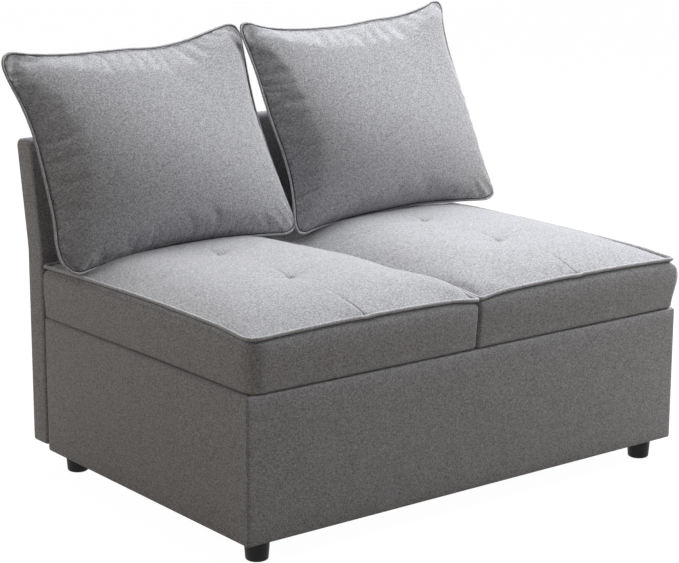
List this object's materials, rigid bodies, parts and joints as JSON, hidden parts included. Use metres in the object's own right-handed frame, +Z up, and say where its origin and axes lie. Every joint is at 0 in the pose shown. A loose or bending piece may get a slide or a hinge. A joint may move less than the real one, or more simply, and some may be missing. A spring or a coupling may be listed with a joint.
{
  "type": "armless two-seat sofa",
  "caption": "Armless upholstered loveseat with a storage box base, lift-off seats, a bolted one-piece back panel and loose piped pillows on short round feet",
  "frame": {"origin": "on the floor, midway between the sides of the base box and midway between the foremost and the rearmost point of the whole sofa", "axes": "+X to the right as seen from in front, +Y to the rear, +Z up; the front faces -Y"},
  "size_m": [1.2856, 0.892, 0.9734],
  "materials": {
    "grey_fabric": "heathered grey woven upholstery fabric, matte",
    "piping_fabric": "the same woven fabric cut on the bias round a cord",
    "black_cloth": "thin black non-woven cloth",
    "foam": "open-cell cream polyurethane foam",
    "fibre": "white polyester fibre filling",
    "twine": "waxed upholstery twine with covered buttons",
    "plywood": "bare plywood",
    "pine": "bare planed pine",
    "black_plastic": "black moulded plastic, satin",
    "steel": "zinc-plated steel"
  },
  "bodies": {
    "base": {"base_cover": "grey_fabric", "base_padding": "foam", "base_front_panel": "plywood", "base_rear_panel": "plywood", "base_left_panel": "plywood", "base_right_panel": "plywood", "base_divider": "plywood", "base_floor": "plywood", "corner_blocks": "pine", "underside_cloth": "black_cloth", "left_storage_lining": "black_cloth", "right_storage_lining": "black_cloth", "foot_tee_nuts": "steel", "foot_studs": "steel", "front_left_foot": "black_plastic", "front_right_foot": "black_plastic", "rear_left_foot": "black_plastic", "rear_right_foot": "black_plastic", "back_cover": "grey_fabric", "back_front_padding": "foam", "back_rear_padding": "foam", "back_top_padding": "foam", "back_front_board": "plywood", "back_rear_board": "plywood", "back_left_stile": "pine", "back_inner_left_stile": "pine", "back_inner_right_stile": "pine", "back_right_stile": "pine", "back_top_rail": "pine", "back_seat_rail": "pine", "back_bottom_rail": "pine", "back_bolts": "steel", "back_washers": "steel", "back_tee_nuts": "steel"},
    "left_seat": {"left_seat_cover": "grey_fabric", "left_seat_piping": "piping_fabric", "left_seat_topper": "fibre", "left_seat_foam": "foam", "left_seat_board": "plywood", "left_seat_battens": "pine", "left_seat_ties": "twine", "left_seat_underlining": "black_cloth"},
    "right_seat": {"right_seat_cover": "grey_fabric", "right_seat_piping": "piping_fabric", "right_seat_topper": "fibre", "right_seat_foam": "foam", "right_seat_board": "plywood", "right_seat_battens": "pine", "right_seat_ties": "twine", "right_seat_underlining": "black_cloth"},
    "left_pillow": {"left_pillow_cover": "grey_fabric", "left_pillow_piping": "piping_fabric", "left_pillow_fill": "fibre"},
    "right_pillow": {"right_pillow_cover": "grey_fabric", "right_pillow_piping": "piping_fabric", "right_pillow_fill": "fibre"}
  },
  "joints": [
    {"name": "left_seat_lift", "type": "slide", "parent": "base", "child": "left_seat", "axis": [0, 0, 1], "range_m": [0, 0.3]},
    {"name": "right_seat_lift", "type": "slide", "parent": "base", "child": "right_seat", "axis": [0, 0, 1], "range_m": [0, 0.3]},
    {"name": "left_pillow_lift", "type": "slide", "parent": "left_seat", "child": "left_pillow", "axis": [0, 0, 1], "range_m": [0, 0.35]},
    {"name": "right_pillow_lift", "type": "slide", "parent": "right_seat", "child": "right_pillow", "axis": [0, 0, 1], "range_m": [0, 0.35]}
  ]
}
